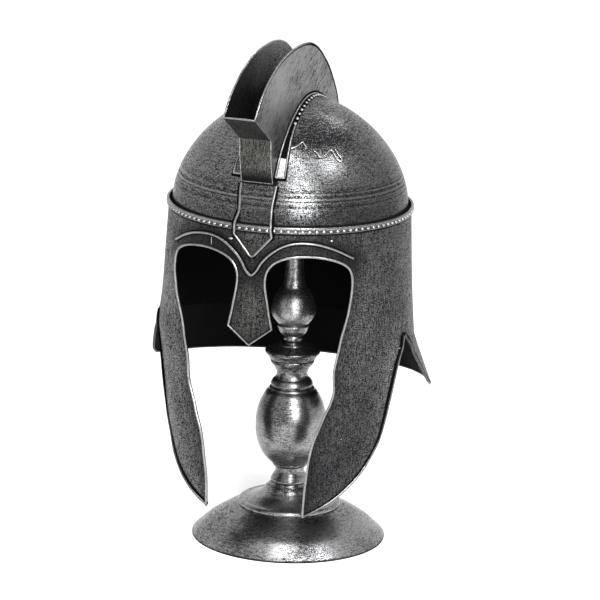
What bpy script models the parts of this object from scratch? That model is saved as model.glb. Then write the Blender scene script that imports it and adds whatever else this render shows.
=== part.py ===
"""A roman helmet with a fore-and-aft crest, resting on a turned stand.

Metres, +Z up. The origin is on the stand's axis at the floor and the helmet faces -Y.
The helmet's sheets are cut flat, scored at their bends and rolled, as a tinsmith makes them.
"""
import math

import bmesh
import bpy
from mathutils import Vector

MM = 0.001
GAP = 0.3 * MM
MERGE = 0.01 * MM

# Helmet: sheet, wire and where it sits
SHEET = 1.2 * MM
CREST_SHEET = 1.0 * MM
WIRE_RADIUS = 0.95 * MM
WIRE_LIFT = GAP + WIRE_RADIUS  # from a sheet's face or edge to the middle of its wire
HELMET_X = -8.2 * MM  # where the helmet's own axis would meet the floor
HELMET_LEAN = math.radians(0.65)  # and how far it leans on its post
CREST_TWIST = math.radians(-1.1)  # the crest is soldered on slightly askew

# Wall: a slightly flared tube, open at the face
WALL_TOP = 279.4 * MM
WALL_TOP_RADIUS = 97.0 * MM
WALL_FLARE = 0.05
BEND_STEP = 7.5  # degrees between the bends of a rolled sheet
ARC = math.radians(1) * 98.5 * MM  # flat length of one degree
NOSE_SPAN = 20  # degrees, the nose guard's share of the wall
CHEEK_SPAN = (30, 75)  # degrees, where the bends of the cheek guards are given
BEND_FADES = (84, 115)  # degrees, where the cheeks' outward bend dies away

# Neck guard: a second flare below the crease
GUARD_FLARE = 0.335

# Dome: a spun bowl with an elliptic profile, tucked inside the wall
DOME_BASE = 280.0 * MM
DOME_RADIUS = 94.4 * MM
DOME_RISE = 87.0 * MM
DOME_POWER = 1.8
DOME_RINGS = 8
SKIRT_RADIUS = 95.4 * MM
SKIRT_TOP = 279.2 * MM
SKIRT_BOTTOM = 271.0 * MM

# Band over the seam, with a rolled lip above and below
BAND_TOP = 280.2 * MM
BAND_BOTTOM = 273.2 * MM
BAND_INNER = 97.65 * MM
BAND_OUTER = 98.15 * MM
LIP_OUTER = 98.8 * MM
LIP_HEIGHT = 1.2 * MM

# Crest: two upright plates over the dome, a folded front and strips along their feet
CREST_HALF_WIDTH = 13.0 * MM
CREST_FOOT_Y = -85.0 * MM
CREST_HEEL_Y = 84.8 * MM
CREST_SEAT = 0.5 * MM  # from the dome to whatever stands on it
FOOT_STRIP_RIDGE = 1.6 * MM
FOOT_STRIP_WEB = 0.9 * MM
FOOT_STRIP_END_Y = 83.0 * MM

# How finely it is all faceted
HELMET_STEPS = 48
PLATE_FOOT_STEPS = 16
FOOT_STRIP_STEPS = 14
CREST_FRONT_STEPS = 4
SLOPE_STEP = 0.1 * MM  # over which the dome's slope is measured
SHARP_ANGLE = math.radians(35)  # edges sharper than this are not shaded smooth

# Lines of the wires on the rolled sheets: (degrees from the front, millimetres above the floor)
NOSE_TIP = (0, 183.4)
EYE_AND_CHEEK = (
    (10.6, 197.5), (8.6, 215), (6.8, 235.5), (8.4, 246.6), (13.2, 253.2), (21.8, 256.4),
    (31.2, 255.6), (40.6, 251.3), (46.2, 244.1), (47.2, 231), (46.1, 206), (43.5, 179),
    (42.1, 160), (43, 140), (37.7, 118.8), (33, 98.5), (30.8, 70), (29.8, 38.6))
CHEEK_REAR = (
    (29.8, 38.6), (47, 52.7), (63, 72.6), (71.7, 92.7), (74.7, 113), (76.8, 138),
    (78.4, 160), (81, 182.4))
NOTCH = (81.6, 186)
CREASE = ((84.6, 182), (97, 177.4), (120, 171.5), (150, 167.4), (180, 166.5))
GUARD_FRONT = ((83.1, 181), (85.7, 173.3), (88.4, 162.2), (92.8, 148.4), (96.2, 139.4))
GUARD_EDGE = ((100, 134.8), (108, 132.4), (123, 129.4), (140, 126.6), (160, 124), (180, 123))
BROW = (
    (0, 240.4), (2.6, 244.4), (5, 251.6), (9, 258.8), (14.6, 265), (21.7, 267.7), (30, 266.5),
    (38.3, 262.1), (47.6, 254.2))
V_TIP = (0, 254)
V_OVER_BAND = ((8.9, 271.4), (8.5, 276.5), (8.4, 281))
V_OVER_SKIRT = ((8.3, 283.7),)
V_ON_DOME = ((8, 289), (8.2, 296), (8.8, 303), (9.3, 308.8))

# How far the sheet is bent in from the plain flare: (height, at 30 degrees, at 75 degrees)
CHEEK_BEND = (
    (232, 0, 0), (212, 4.5, 0), (190, 11.7, -0.2), (175, 14.3, -0.7), (163, 16.3, 1.2),
    (143, 20.9, 4.4), (128, 21.9, 6.7), (113, 21.6, 9.1), (98, 22.7, 12), (80, 24.7, 15.6),
    (62, 27.2, 16.3), (38, 28.6, 17))
# (height, inward)
NOSE_BEND = ((250, 0), (232, 0.8), (196, 2.6), (183, 3.4))

# Line of the crest's wire from the side: (millimetres behind the axis, above the floor)
CREST_LIP = (-133, 370.2)
CREST_FOLD = (-93.2, 347.6)
CREST_TOP = (
    (-118, 384.5), (-97, 397), (-72, 405.8), (-44, 410), (-15, 410), (12, 404.3), (38, 389.6),
    (60, 370.6), (77, 347.6), (85.2, 316))
# (distance from the middle, outer edge of the strip)
FOOT_STRIP = ((0, 16.3), (30, 16.6), (48, 17.4), (63, 18.6), (83, 21))

# Turned profiles, top to bottom: (radius, height) in millimetres
FOOT = (
    (16.2, 45.2), (19.2, 40.4), (25, 35), (33, 31.2), (38.6, 29.6), (40.6, 28.6), (41.4, 27),
    (43.8, 25.5), (52, 21.4), (60, 16.6), (66, 12.6), (71.2, 8.2), (75.6, 4.2), (78.2, 1.2),
    (78.6, 0))
DRUM = ((11.4, 56.3), (11.8, 53.8), (13.2, 51.8), (14.3, 50), (14.9, 47.5), (14.6, 45.5))
BALL = (
    (16.2, 124.9), (19.5, 123.4), (23, 118.8), (25.7, 112.8), (27.7, 107), (28.9, 100),
    (29.2, 92.3), (28.7, 85.5), (27.2, 78.7), (24.7, 72.4), (20.7, 66.5), (16.9, 62.6),
    (13.6, 59.6), (11.6, 56.6))
CUP = (
    (11.4, 161), (12.3, 159.8), (15.5, 158.8), (20.8, 157), (22.3, 155.5), (21.7, 153.5),
    (20, 151), (18.2, 148), (16.6, 146.2), (16, 144), (14.1, 141.5), (12.6, 138), (12.6, 136),
    (14.3, 133), (16.4, 129), (17.2, 126.7), (16.6, 125.2))
SPINDLE = (
    (7, 338), (7.1, 232), (7.6, 224), (8.2, 215), (9.4, 209.4), (11.3, 206.6), (13.4, 204),
    (15.5, 200.4), (17.1, 196.2), (18, 191.5), (18.2, 188.4), (17.5, 185.6), (16, 182.9),
    (14.2, 180.3), (12.2, 178.4), (12, 177.4), (12.8, 176.6), (11.9, 173.4), (10.4, 170.9),
    (8.4, 169), (6.8, 167.8), (7.5, 164.6), (6.2, 162.6), (6.2, 161.3))
SEAT = ((6, 362.6), (12, 360.8), (17, 357), (18, 350), (12, 343), (6.5, 338.3))

# name: (colour, roughness, metallic)
FINISHES = {
    "antique_silver": ((0.20, 0.20, 0.20, 1), 0.45, 0.85),
    "silvered_wire": ((0.52, 0.52, 0.51, 1), 0.35, 0.9),
    "turned_silver": ((0.27, 0.27, 0.28, 1), 0.25, 0.9),
}


# The shape of the helmet --------------------------------------------------------------------------

def read_table(table, at, column):
    """Straight-line reading of a table, whichever way its first column runs."""
    rows = sorted(table)
    at = min(max(at, rows[0][0]), rows[-1][0])
    for low, high in zip(rows, rows[1:]):
        if at <= high[0]:
            share = (at - low[0]) / (high[0] - low[0])
            return low[column] + share * (high[column] - low[column])


def smooth_through(points, steps):
    """A Catmull-Rom curve through 2-D points, with some steps between each two."""
    points = [Vector(point) for point in points]
    ends = [2 * points[0] - points[1], *points, 2 * points[-1] - points[-2]]
    made = []
    for before, start, end, after in zip(ends, ends[1:], ends[2:], ends[3:]):
        for step in range(steps):
            t = step / steps
            made.append(0.5 * (
                2 * start + t * (end - before)
                + t ** 2 * (2 * before - 5 * start + 4 * end - after)
                + t ** 3 * (3 * start - before - 3 * end + after)))
    return [tuple(point) for point in (*made, points[-1])]


def mirrored(points):
    """The same path on the other side of the middle, run the other way."""
    return [(-angle, *rest) for angle, *rest in reversed(points)]


def plain_flare(height):
    return WALL_TOP_RADIUS + WALL_FLARE * (WALL_TOP - height)


def bent_in(angle, height):
    """How far the nose and cheek guards are bent in; below zero is outward."""
    across = min(angle % 360, -angle % 360)
    if across < NOSE_SPAN:
        return read_table(NOSE_BEND, height / MM, 1) * MM
    front, rear = (read_table(CHEEK_BEND, height / MM, column) * MM for column in (1, 2))
    share = (min(across, BEND_FADES[0]) - CHEEK_SPAN[0]) / (CHEEK_SPAN[1] - CHEEK_SPAN[0])
    fade = min(max((BEND_FADES[1] - across) / (BEND_FADES[1] - BEND_FADES[0]), 0), 1)
    return (front + share * (rear - front)) * fade


def wall_radius(angle, height):
    return plain_flare(height) - bent_in(angle, height)


def guard_radius(angle, height):
    """Outer radius of the neck guard, flared out below the crease."""
    crease = read_table(CREASE, min(angle, 360 - angle), 1) * MM
    bend = bent_in(angle, max(height, CREASE[-1][1] * MM))
    return plain_flare(height) - bend + GUARD_FLARE * max(crease - height, 0)


def dome_height(radius):
    return DOME_BASE + DOME_RISE * (1 - (radius / DOME_RADIUS) ** DOME_POWER) ** (1 / DOME_POWER)


def dome_radius(height):
    share = (height - DOME_BASE) / DOME_RISE
    return DOME_RADIUS * (1 - share ** DOME_POWER) ** (1 / DOME_POWER)


def on_dome(x, y, lift):
    """The place over (x, y), lifted square off the dome."""
    radius = math.hypot(x, y)
    rise = dome_height(radius + SLOPE_STEP) - dome_height(radius - SLOPE_STEP)
    slope = rise / (2 * SLOPE_STEP)
    out = Vector((-slope * x / radius, -slope * y / radius, 1)).normalized()
    return Vector((x, y, dome_height(radius))) + out * lift


def over_dome(start, end, steps):
    """Distances from front to back over the dome, evenly spaced along its curve."""
    first, last = (math.asin(y / DOME_RADIUS) for y in (start, end))
    return [DOME_RADIUS * math.sin(first + (last - first) * n / steps) for n in range(steps + 1)]


def inset(path):
    """The edge of a sheet that has its wire along the path, with the sheet on the left of it."""
    flat = [Vector((angle * ARC, height * MM)) for angle, height in path]
    sides = []
    for start, end in zip(flat, flat[1:]):
        along = (end - start).normalized()
        sides.append(Vector((-along.y, along.x)))
    made = []
    for point, before, after in zip(flat, sides[:1] + sides, sides + sides[-1:]):
        place = point + (before + after) / (1 + before.dot(after)) * WIRE_LIFT
        made.append((place.x / ARC, place.y / MM))
    return made


def around(angle, radius, height):
    turn = math.radians(angle)
    return Vector((radius * math.sin(turn), -radius * math.cos(turn), height))


# Ways of making ---------------------------------------------------------------------------------

def add_rest(name, parent=None):
    """An empty that a group of pieces is placed by."""
    rest = bpy.data.objects.new(name, None)
    rest.parent = parent
    bpy.context.scene.collection.objects.link(rest)
    return rest


def add_object(name, bm, finish, rest):
    bm.normal_update()
    if bm.faces:
        bmesh.ops.recalc_face_normals(bm, faces=bm.faces)
    mesh = bpy.data.meshes.new(name)
    bm.to_mesh(mesh)
    bm.free()
    mesh.materials.append(materials[finish])
    mesh.shade_smooth()
    mesh.set_sharp_from_angle(angle=SHARP_ANGLE)
    item = bpy.data.objects.new(name, mesh)
    item.parent = rest
    bpy.context.scene.collection.objects.link(item)
    return item


def curve_solid(points, shape):
    """The solid that a straight-sided curve makes with its thickness or its round section."""
    curve = bpy.data.curves.new("guide", "CURVE")
    curve.dimensions = "2D" if "extrude" in shape else "3D"
    curve.use_fill_caps = True
    for setting, value in shape.items():
        setattr(curve, setting, value)
    spline = curve.splines.new("POLY")
    spline.points.add(len(points) - 1)
    for place, point in zip(spline.points, points):
        place.co = (*point, 1)
    spline.use_cyclic_u = curve.dimensions == "2D"
    item = bpy.data.objects.new("guide", curve)
    bpy.context.scene.collection.objects.link(item)
    depsgraph = bpy.context.evaluated_depsgraph_get()
    mesh = bpy.data.meshes.new_from_object(item.evaluated_get(depsgraph))
    bm = bmesh.new()
    bm.from_mesh(mesh)
    bmesh.ops.remove_doubles(bm, verts=bm.verts, dist=MERGE)
    bpy.data.objects.remove(item)
    bpy.data.curves.remove(curve)
    bpy.data.meshes.remove(mesh)
    return bm


def cut_flat(outline, thickness):
    """A flat sheet cut to an outline in X and Y, with its thickness along Z."""
    shape = {"fill_mode": "BOTH", "extrude": thickness / 2}
    bm = curve_solid([(x, y, 0) for x, y in outline], shape)
    caps = {face for face in bm.faces if abs(face.normal.z) > 0.9}
    seams = [edge for edge in bm.edges if all(face in caps for face in edge.link_faces)]
    bmesh.ops.dissolve_edges(bm, edges=seams, use_verts=False)
    return bm


def score(bm, normal, places, reach):
    """Bend lines across a flat sheet, as far out as it is bent."""
    for place in places:
        faces = [f for f in bm.faces if abs(f.calc_center_median().x) < reach]
        edges = {edge for face in faces for edge in face.edges}
        verts = {vert for face in faces for vert in face.verts}
        bmesh.ops.bisect_plane(
            bm, geom=[*verts, *edges, *faces], plane_co=Vector(normal) * place,
            plane_no=normal, dist=MERGE)


def rolled_sheet(name, outline, rows, radius_at, closed=False):
    """Cut a sheet flat, score it at its bends and roll it round the helmet's axis."""
    bm = cut_flat([(angle * ARC, height * MM) for angle, height in outline], SHEET)
    reach = max(vert.co.x for vert in bm.verts)
    turns = range(math.ceil(-180 / BEND_STEP) + 1, math.ceil(360 / BEND_STEP))
    columns = [turn * BEND_STEP * ARC for turn in turns]
    score(bm, (1, 0, 0), [x for x in columns if abs(x) < reach], math.inf)
    for height, span in rows:
        score(bm, (0, 1, 0), [height * MM], span * ARC)
    if closed:
        # the two cut ends meet at the back
        ends = [f for f in bm.faces if all(abs(abs(v.co.x) - reach) < MERGE for v in f.verts)]
        bmesh.ops.delete(bm, geom=ends, context="FACES")
    for vert in bm.verts:
        angle, height = vert.co.x / ARC, vert.co.y
        vert.co = around(angle, radius_at(angle, height) - SHEET / 2 + vert.co.z, height)
    bmesh.ops.remove_doubles(bm, verts=bm.verts, dist=MERGE)
    add_object(name, bm, "antique_silver", helmet)


def wire(name, points, rest=None):
    bm = curve_solid(points, {"bevel_depth": WIRE_RADIUS, "bevel_resolution": 1})
    add_object(name, bm, "silvered_wire", rest or helmet)


def wire_on(radius_at, path, lift=-SHEET / 2):
    """The line of a wire along a rolled sheet's edge, or lifted onto its outside."""
    return [around(a, radius_at(a, h * MM) + lift, h * MM) for a, h in path]


def turned(name, profile, steps, finish, rest, ring=False):
    """A profile of (radius, height), down its outer side, turned about the axis."""
    bm = bmesh.new()
    verts = [bm.verts.new((radius, 0, height)) for radius, height in profile]
    for start, end in zip(verts, verts[1:] + verts[:1] if ring else verts[1:]):
        bm.edges.new((start, end))
    item = add_object(name, bm, finish, rest)
    screw = item.modifiers.new("turn", "SCREW")
    screw.steps = screw.render_steps = steps
    screw.use_merge_vertices = True
    screw.merge_threshold = MERGE
    screw.use_smooth_shade = True


def turned_solid(name, profile, steps):
    """A turned piece of the stand, solid to its axis."""
    closed = [(0, profile[0][1]), *profile, (0, profile[-1][1])]
    turned(name, [(r * MM, h * MM) for r, h in closed], steps, "turned_silver", stand)


# The pieces ---------------------------------------------------------------------------------------

def make_dome():
    turns = [ring * math.pi / 2 / DOME_RINGS for ring in range(DOME_RINGS, -1, -1)]
    bowl = [
        (DOME_RADIUS * max(math.cos(turn), 0) ** (2 / DOME_POWER),
         DOME_BASE + DOME_RISE * math.sin(turn) ** (2 / DOME_POWER)) for turn in turns]
    thin, thin_rise = (DOME_RADIUS - SHEET) / DOME_RADIUS, (DOME_RISE - SHEET) / DOME_RISE
    lining = [(r * thin, DOME_BASE + (h - DOME_BASE) * thin_rise) for r, h in reversed(bowl)]
    skirt = [(SKIRT_RADIUS, SKIRT_TOP), (SKIRT_RADIUS, SKIRT_BOTTOM)]
    hem = [(SKIRT_RADIUS - SHEET, SKIRT_BOTTOM), (SKIRT_RADIUS - SHEET, SKIRT_TOP - SHEET)]
    turned("skull_dome", [*bowl, *skirt, *hem, *lining], HELMET_STEPS, "antique_silver", helmet)


def make_band():
    strip = [
        (BAND_INNER, BAND_TOP), (LIP_OUTER, BAND_TOP), (LIP_OUTER, BAND_TOP - LIP_HEIGHT),
        (BAND_OUTER, BAND_TOP - LIP_HEIGHT), (BAND_OUTER, BAND_BOTTOM + LIP_HEIGHT),
        (LIP_OUTER, BAND_BOTTOM + LIP_HEIGHT), (LIP_OUTER, BAND_BOTTOM),
        (BAND_INNER, BAND_BOTTOM)]
    turned("beaded_band", strip, HELMET_STEPS, "silvered_wire", helmet, ring=True)


def make_wall():
    cheek = smooth_through(CHEEK_REAR, 2)
    face = [NOSE_TIP, *smooth_through(EYE_AND_CHEEK, 2)]
    edge = inset(mirrored(face)[:-1] + face + cheek[1:])
    half = [*edge[len(face) - 1:], NOTCH, *CREASE, (180, WALL_TOP / MM)]
    rows = [(height, NOSE_SPAN) for height, _ in NOSE_BEND]
    rows += [(height, BEND_FADES[1]) for height, *_ in CHEEK_BEND]
    rolled_sheet("helmet_wall", half + mirrored(half)[:-1], rows, wall_radius, closed=True)
    wire("face_edge_wire", wire_on(wall_radius, mirrored(face)[:-1] + face))
    for side, path in (("left", mirrored(cheek)[:-1]), ("right", cheek[1:])):
        wire("cheek_wire_" + side, wire_on(wall_radius, path))
    brow = smooth_through(BROW, 2)
    wire("brow_wire", wire_on(wall_radius, mirrored(brow)[:-1] + brow, WIRE_LIFT))


def make_neck_guard():
    gap = GAP / MM
    crease = [(angle, height - gap) for angle, height in CREASE]
    path = smooth_through((*GUARD_FRONT, GUARD_EDGE[0]), 2) + smooth_through(GUARD_EDGE, 3)[1:]
    whole = path + [(360 - angle, height) for angle, height in reversed(path[:-1])]
    top = crease + [(360 - angle, height) for angle, height in reversed(crease[:-1])]
    rolled_sheet("neck_guard", inset(whole)[1:-1] + top[::-1], [], guard_radius)
    wire("neck_guard_wire", wire_on(guard_radius, whole))


def make_v_wire():
    right = wire_on(wall_radius, [V_TIP], WIRE_LIFT)
    right += wire_on(lambda *_: LIP_OUTER, V_OVER_BAND, WIRE_LIFT)
    right += wire_on(lambda *_: SKIRT_RADIUS, V_OVER_SKIRT, WIRE_LIFT)
    right += wire_on(lambda _, height: dome_radius(height), V_ON_DOME, WIRE_LIFT)
    left = [Vector((-p.x, p.y, p.z)) for p in reversed(right)]
    wire("crest_v_wire", left[:-1] + right)


def make_crest():
    fold, lip = Vector(CREST_FOLD) * MM, Vector(CREST_LIP) * MM
    edge = [Vector(point) * MM for point in smooth_through((CREST_LIP, *CREST_TOP), 2)]
    inner = CREST_HALF_WIDTH - CREST_SHEET
    lip_end = lip + (fold - lip).normalized() * WIRE_LIFT
    under_wire = [lip_end]
    for before, point, after in zip(edge, edge[1:], edge[2:] + edge[-1:]):
        along = (after - before).normalized()
        under_wire.append(point + Vector((along.y, -along.x)) * WIRE_LIFT)
    stations = over_dome(CREST_HEEL_Y, CREST_FOOT_Y, PLATE_FOOT_STEPS)
    feet = [on_dome(inner, y, CREST_SEAT) for y in stations]
    plate = [*under_wire, *[Vector((foot.y, foot.z)) for foot in feet], fold]
    for side, sign in (("left", -1), ("right", 1)):
        bm = cut_flat(plate, CREST_SHEET)
        for vert in bm.verts:
            across = sign * (CREST_HALF_WIDTH - CREST_SHEET / 2 + vert.co.z)
            vert.co = (across, vert.co.x, vert.co.y)
        add_object("crest_plate_" + side, bm, "antique_silver", crest)
    middle = CREST_HALF_WIDTH - CREST_SHEET / 2
    right = [Vector((middle, point.x, point.y)) for point in edge]
    left = [Vector((-p.x, p.y, p.z)) for p in right]
    wire("crest_edge_wire", left[::-1] + right, crest)
    make_crest_front(inner - GAP, fold, lip_end, Vector((feet[-1].y, feet[-1].z)))


def make_crest_front(half, fold, lip_end, foot):
    """A strip folded once, from the lip back and down to the foot."""
    up, down = lip_end - fold, foot - fold
    rise = up.length
    across = [half * (2 * n / CREST_FRONT_STEPS - 1) for n in range(CREST_FRONT_STEPS + 1)]
    shorter = [on_dome(x, CREST_FOOT_Y, CREST_SEAT).z - foot.y for x in across]
    ends = [(x, -down.length + less) for x, less in zip(across, shorter)]
    bm = cut_flat([(half, rise), (-half, rise), *ends], CREST_SHEET)
    score(bm, (0, 1, 0), [0], math.inf)
    up.normalize()
    down.normalize()
    behind = (Vector((up.y, -up.x)), Vector((-down.y, down.x)))
    mitre = (behind[0] + behind[1]) / (1 + behind[0].dot(behind[1]))
    for vert in bm.verts:
        x, along, depth = vert.co.x, vert.co.y, vert.co.z + CREST_SHEET / 2
        if abs(along) < MERGE:
            place = fold + mitre * depth
        elif along > 0:
            place = fold + up * along + behind[0] * depth
        else:
            place = fold - down * along + behind[1] * depth
        vert.co = (x, place.x, place.y)
    add_object("crest_front", bm, "antique_silver", crest)


def make_foot_strips():
    """Strips with a ridge on each edge, laid on the dome along the plates' feet."""
    inner = CREST_HALF_WIDTH + GAP
    # (share of the width, height above the dome)
    section = (
        (0, 0), (0, FOOT_STRIP_RIDGE), (0.2, FOOT_STRIP_RIDGE), (0.3, FOOT_STRIP_WEB),
        (0.7, FOOT_STRIP_WEB), (0.8, FOOT_STRIP_RIDGE), (1, FOOT_STRIP_RIDGE), (1, 0))
    for side, sign in (("left", -1), ("right", 1)):
        bm = bmesh.new()
        loops = []
        for y in over_dome(-FOOT_STRIP_END_Y, FOOT_STRIP_END_Y, FOOT_STRIP_STEPS):
            width = read_table(FOOT_STRIP, abs(y) / MM, 1) * MM - inner
            places = [
                on_dome(sign * (inner + share * width), y, CREST_SEAT + rise)
                for share, rise in section]
            for place, (share, _) in zip(places, section):
                place.x = sign * (inner + share * width)
            loops.append([bm.verts.new(place) for place in places])
        for loop, ahead in zip(loops, loops[1:]):
            for n in range(len(section)):
                after = (n + 1) % len(section)
                bm.faces.new((loop[n], loop[after], ahead[after], ahead[n]))
        bm.faces.new(loops[0])
        bm.faces.new(loops[-1])
        add_object("crest_foot_strip_" + side, bm, "silvered_wire", crest)


def make_stand():
    for name, profile, steps in (
            ("stand_foot", FOOT, 36), ("stand_drum", DRUM, 20), ("stand_ball", BALL, 24),
            ("stand_cup", CUP, 20), ("stand_spindle", SPINDLE, 14), ("stand_seat", SEAT, 16)):
        turned_solid(name, profile, steps)


for old in list(bpy.data.objects):
    bpy.data.objects.remove(old, do_unlink=True)
materials = {}
for finish, (colour, roughness, metallic) in FINISHES.items():
    materials[finish] = bpy.data.materials.new(finish)
    materials[finish].use_nodes = True
    shader = materials[finish].node_tree.nodes["Principled BSDF"]
    shader.inputs["Base Color"].default_value = colour
    shader.inputs["Roughness"].default_value = roughness
    shader.inputs["Metallic"].default_value = metallic
stand = add_rest("stand")
helmet = add_rest("helmet_seat")
helmet.location.x = HELMET_X
helmet.rotation_euler.y = HELMET_LEAN
crest = add_rest("crest_seat", helmet)
crest.rotation_euler.z = CREST_TWIST
make_dome()
make_band()
make_wall()
make_neck_guard()
make_v_wire()
make_crest()
make_foot_strips()
make_stand()
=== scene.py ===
"""A roman helmet with a fore-and-aft crest, resting on a turned stand.

Antique silver: black enamel with silver rubbed over it by brush, on sheet and soldered wire.
Metres, +Z up, and the helmet faces -Y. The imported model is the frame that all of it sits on.
"""
import math

import bpy
from mathutils import Matrix, Vector, noise


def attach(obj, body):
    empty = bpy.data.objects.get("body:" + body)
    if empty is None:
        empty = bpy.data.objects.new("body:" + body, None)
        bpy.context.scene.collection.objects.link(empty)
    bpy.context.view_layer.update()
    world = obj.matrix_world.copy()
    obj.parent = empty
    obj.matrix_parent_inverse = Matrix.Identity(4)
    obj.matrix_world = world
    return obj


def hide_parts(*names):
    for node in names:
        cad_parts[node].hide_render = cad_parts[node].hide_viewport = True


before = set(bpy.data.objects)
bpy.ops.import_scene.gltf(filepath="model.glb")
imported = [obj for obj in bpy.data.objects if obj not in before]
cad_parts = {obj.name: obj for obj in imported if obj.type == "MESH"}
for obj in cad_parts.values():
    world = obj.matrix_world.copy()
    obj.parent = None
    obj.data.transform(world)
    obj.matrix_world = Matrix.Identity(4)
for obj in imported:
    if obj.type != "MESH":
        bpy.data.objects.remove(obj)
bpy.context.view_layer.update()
noise.seed_set(11)  # every run gives the sheet and wire the same small unevenness

MM = 0.001

# Where the helmet and its crest sit
HELMET_X = -8.2 * MM
HELMET_LEAN = math.radians(0.65)
CREST_TWIST = math.radians(-1.1)
HELMET = Matrix.Translation((HELMET_X, 0, 0)) @ Matrix.Rotation(HELMET_LEAN, 4, "Y")
CREST = HELMET @ Matrix.Rotation(CREST_TWIST, 4, "Z")
STAND = Matrix.Identity(4)

# Sheet and wire, in millimetres
SHEET = 1.2
CREST_SHEET = 1.0
WIRE_RADIUS = 0.95
FACE_WIRE_RADIUS = 0.9
CHEEK_WIRE_RADIUS = 1.05
CREST_WIRE_RADIUS = 0.72
CREST_SOLDER_RADIUS = 0.42
RIDGE_RADIUS = 0.6
ON_SHEET = 0.75  # a wire's middle above the sheet that it is soldered to
ON_EDGE = 0.1  # the face wire's middle above the sheet
FACE_WIRE_INSET = 0.5
GUARD_WIRE_DEPTH = 0.85  # how far the guard's wire sits behind its outer face
CHEEK_GRIME = (7.0, 3.6)  # width of the grime inside each cheek guard's rear wire

# How uneven a wire is: how far it strays, its bends and swells to the metre, and how it swells
WANDER = 0.18
LONG_BENDS = 60
SHORT_BENDS = 260
SWELLS = 150
SWELL = 0.16

MERGE = 0.01 * MM
SIDES = (("left", -1), ("right", 1))
ROUND_STEPS = 144  # facets round the dome, the band and the foot

# Wall and neck guard, laid out flat by degrees and height
WALL_TOP = 279.4
WALL_TOP_RADIUS = 97.0
WALL_FLARE = 0.05
ARC = math.radians(1) * 98.5  # flat length of one degree, in millimetres
NOSE_SPAN = 20
CHEEK_SPAN = (30, 75)
BEND_FADES = (84, 115)
GUARD_FLARE = 0.335
COLUMN = 2.5  # degrees between the columns of a rolled sheet
ROW = 3.5  # millimetres between its rows

# Dome, its skirt and the band over the seam
DOME_BASE = 280.0
DOME_RADIUS = 94.4
DOME_RISE = 87.0
DOME_POWER = 1.8
SKIRT_RADIUS = 95.4
SKIRT_BOTTOM = 271.0
DOME_RINGS = 40
BAND_FACE = 98.95
BAND_SECTION = (
    (97, 280), (97.9, 280.2), (98.6, 280.1), (98.95, 279.6), (99, 279), (98.8, 278.3), (98.3, 278),
    (98.15, 277.6), (98.15, 277.1), (98.3, 276.5), (98.7, 276.2), (98.85, 275.7), (98.6, 275.2),
    (98, 275.1), (97, 275.3))
BEADS = 110
BEAD_SIZE = (1.6, 1.05, 1.25)
BEAD_HEIGHT = 276.9
BEAD_SEAT = 98.15
BEAD_STRAY = (0.35, 0.2)  # degrees round the band, and millimetres up and down it

# Crest
CREST_HALF_WIDTH = 13.0
CREST_FOOT_Y = -85.0
CREST_HEEL_Y = 84.8
STRIP_END_Y = 83.6
CREST_SCORE = 6  # millimetres between the scored lines of a plate
CREST_WAVE = 0.5  # how far a plate's free edge waves, in millimetres
CREST_WAVES = 22  # waves to the metre
CREST_FREE_FROM = 0.37  # height in metres above which a plate waves
FRONT_BOW = 1.4  # how far the crest's front bows out between its folds
STRIP_BEAD_SIZE = (1.5, 1.35, 0.9)

# Across a foot strip: (share of its width, millimetres above the dome)
STRIP_SECTION = ((0, -0.6), (0, 0.7), (0.5, 0.5), (1, 0.3), (1, -0.6))
TAB_SECTION = ((0.22, 0.2), (0.22, 0.9), (0.72, 0.8), (0.72, 0.2))
TAB_SLOPE = 3  # millimetres over which the tab rises from the strip
INNER_RIDGE = 0.1
OUTER_RIDGE = 0.82
BEAD_ROW = 0.7

# Lines on the rolled sheets: (degrees from the front, millimetres above the floor)
NOSE_TIP = (0, 183.4)
EYE_AND_CHEEK = (
    (10.6, 197.5), (8.6, 215), (6.8, 235.5), (8.4, 246.6), (13.2, 253.2), (21.8, 256.4),
    (31.2, 255.6), (40.6, 251.3), (46.2, 244.1), (47.2, 231), (46.1, 206), (43.5, 179),
    (42.1, 160), (43, 140), (37.7, 118.8), (33, 98.5), (30.8, 70), (29.8, 38.6))
CHEEK_REAR = (
    (29.8, 38.6), (47, 52.7), (63, 72.6), (71.7, 92.7), (74.7, 113), (76.8, 138),
    (78.4, 160), (81, 182.4))
CREASE = ((81.6, 184), (84.6, 182), (97, 177.4), (120, 171.5), (150, 167.4), (180, 166.5))
GUARD_FRONT = ((82.4, 183), (85.7, 173.3), (88.4, 162.2), (92.8, 148.4), (96.2, 139.4))
GUARD_EDGE = ((100, 134.8), (108, 132.4), (123, 129.4), (140, 126.6), (160, 124), (180, 123))
BROW = (
    (0, 240.4), (2.6, 244.4), (5, 251.6), (9, 258.8), (14.6, 265), (21.7, 267.7), (30, 266.5),
    (38.3, 262.1), (47.6, 254.2))
V_TIP = (0, 254)
V_KNEE = (8.9, 271.4)
V_OVER_BAND = ((8.5, 276.5), (8.4, 281))
V_ON_DOME = ((8, 289), (8.2, 296), (8.8, 303), (9.4, 310))

# Solder left on the wall: (degrees, height, half sizes in millimetres)
SOLDER = (
    (-10.8, 267.2, (1.7, 0.9, 0.7)), (-21.3, 262.2, (0.3, 3.6, 0.3)),
    (36.8, 269.2, (1.0, 0.8, 0.25)), (77.6, 173.8, (1.8, 0.5, 0.8)),
    (74.6, 157.1, (1.8, 0.5, 0.8)), (-61, 245, (0.7, 0.6, 0.4)), (-77.6, 163, (1.6, 0.5, 0.8)),
    (49, 104, (0.5, 0.5, 0.35)), (61, 170, (0.5, 0.45, 0.35)))

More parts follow.
